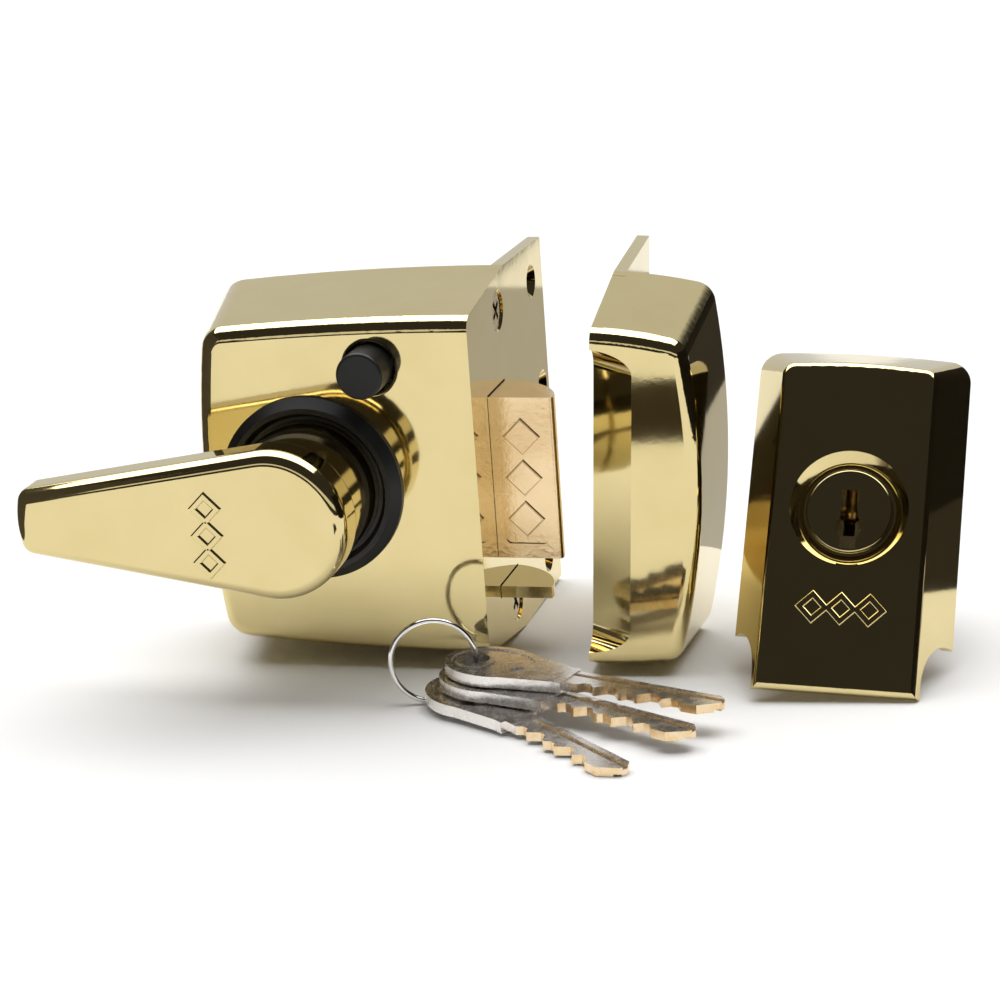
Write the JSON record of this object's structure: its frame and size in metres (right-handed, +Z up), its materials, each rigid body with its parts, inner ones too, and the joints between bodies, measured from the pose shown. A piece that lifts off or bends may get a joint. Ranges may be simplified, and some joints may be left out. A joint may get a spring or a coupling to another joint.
{
  "type": "rim night latch",
  "caption": "Rim night latch with lever handle, curved latch bolt, deadlocking plunger and snib button, with its box keep, outside cylinder pull and keys on a ring.",
  "frame": {"origin": "on the spindle axis, at the door face where the case's back rests", "axes": "+X towards the forend and keep, +Y into the door, +Z up"},
  "size_m": [0.2096, 0.129, 0.0896],
  "materials": {
    "polished_brass": "mirror polished, lacquered",
    "cast_bolt_brass": "plated cast, slightly grained",
    "turned_brass": "turned",
    "black_nylon": "matt moulded nylon",
    "white_nylon": "moulded",
    "zinc_plate": "zinc plated pressing",
    "spring_steel": "drawn wire and turned pins",
    "brassed_steel": "plated",
    "nickel_key": "nickel plated, cuts showing brass",
    "bright_nickel": "bright"
  },
  "bodies": {
    "case": {"lock_case": "polished_brass", "back_plate": "zinc_plate", "forend_screws": "brassed_steel", "back_plate_screws": "spring_steel", "handle_collar": "black_nylon", "bolt_guide": "white_nylon", "spring_rod": "spring_steel", "latch_spring": "spring_steel", "plunger_spring": "spring_steel", "handle_spring": "spring_steel", "snib_spring": "spring_steel", "pawl_pivot": "spring_steel"},
    "handle": {"handle_lever": "polished_brass", "follower": "zinc_plate", "drive_pin": "spring_steel", "handle_washer": "zinc_plate", "retaining_clip": "spring_steel"},
    "latch": {"latch_bolt": "cast_bolt_brass", "latch_tail": "zinc_plate", "tail_rivets": "spring_steel", "anti_saw_pins": "spring_steel"},
    "plunger": {"plunger_blade": "polished_brass", "plunger_peg": "spring_steel"},
    "pawl": {"deadlock_pawl": "zinc_plate"},
    "snib": {"snib_button": "black_nylon", "snib_plate": "zinc_plate", "snib_screw": "spring_steel"},
    "keep": {"keep_box": "polished_brass"},
    "outside_cylinder": {"pull_cover": "polished_brass", "cylinder_body": "turned_brass", "pin_cover_bar": "zinc_plate", "driver_pins": "turned_brass", "pin_springs": "spring_steel"},
    "plug": {"anti_drill_disc": "polished_brass", "cylinder_plug": "turned_brass", "key_pins": "turned_brass", "tailpiece": "zinc_plate", "tailpiece_screws": "spring_steel"},
    "key_ring": {"split_ring": "bright_nickel"},
    "top_key": {"key_1": "nickel_key"},
    "middle_key": {"key_2": "nickel_key"},
    "bottom_key": {"key_3": "nickel_key"}
  },
  "joints": [
    {"name": "lever_turn", "type": "hinge", "parent": "case", "child": "handle", "pos_m": [0, 0, 0], "axis": [0, 1, 0], "range_deg": [0, 70], "stiffness_Nm_per_rad": 0.08, "springref_deg": -20.05},
    {"name": "latch_slide", "type": "slide", "parent": "case", "child": "latch", "axis": [-1, 0, 0], "range_m": [0, 0.0156], "deforming": ["latch_spring"]},
    {"name": "plunger_slide", "type": "slide", "parent": "case", "child": "plunger", "axis": [-1, 0, 0], "range_m": [0, 0.012], "stiffness_N_per_m": 60, "springref_m": -0.005, "deforming": ["plunger_spring"]},
    {"name": "pawl_rise", "type": "hinge", "parent": "case", "child": "pawl", "pos_m": [-0.018, -0.0105, -0.0246], "axis": [0, -1, 0], "range_deg": [0, 6]},
    {"name": "snib_push", "type": "slide", "parent": "case", "child": "snib", "axis": [0, 1, 0], "range_m": [0, 0.004], "deforming": ["snib_spring"]},
    {"name": "keep_lift", "type": "slide", "parent": "case", "child": "keep", "axis": [0, 0, 1], "range_m": [0, 0.1]},
    {"name": "cylinder_lift", "type": "slide", "parent": "case", "child": "outside_cylinder", "axis": [0, 0, 1], "range_m": [0, 0.1]},
    {"name": "plug_turn", "type": "hinge", "parent": "outside_cylinder", "child": "plug", "pos_m": [0.1241, -0.0246, -0.00617], "axis": [-0.0996, 0.8356, -0.5402], "continuous": true},
    {"name": "ring_lift", "type": "slide", "parent": "case", "child": "key_ring", "axis": [0, 0, 1], "range_m": [0, 0.1]},
    {"name": "top_key_swing", "type": "hinge", "parent": "key_ring", "child": "top_key", "pos_m": [0.0419, -0.0519, -0.03724], "axis": [0.0336, -0.0094, 0.9994], "range_deg": [0, 20]},
    {"name": "middle_key_swing", "type": "hinge", "parent": "key_ring", "child": "middle_key", "pos_m": [0.04085, -0.05295, -0.04012], "axis": [0.0268, -0.0126, 0.9996], "range_deg": [-1, 1]},
    {"name": "bottom_key_swing", "type": "hinge", "parent": "key_ring", "child": "bottom_key", "pos_m": [0.038, -0.054, -0.04298], "axis": [0.0237, -0.0206, 0.9995], "range_deg": [-20, 0]}
  ],
  "couplings": [
    {"joint": "latch_slide", "follows": "lever_turn", "m_per_rad": 0.012769},
    {"joint": "pawl_rise", "follows": "plunger_slide", "rad_per_m": 8.7266}
  ]
}
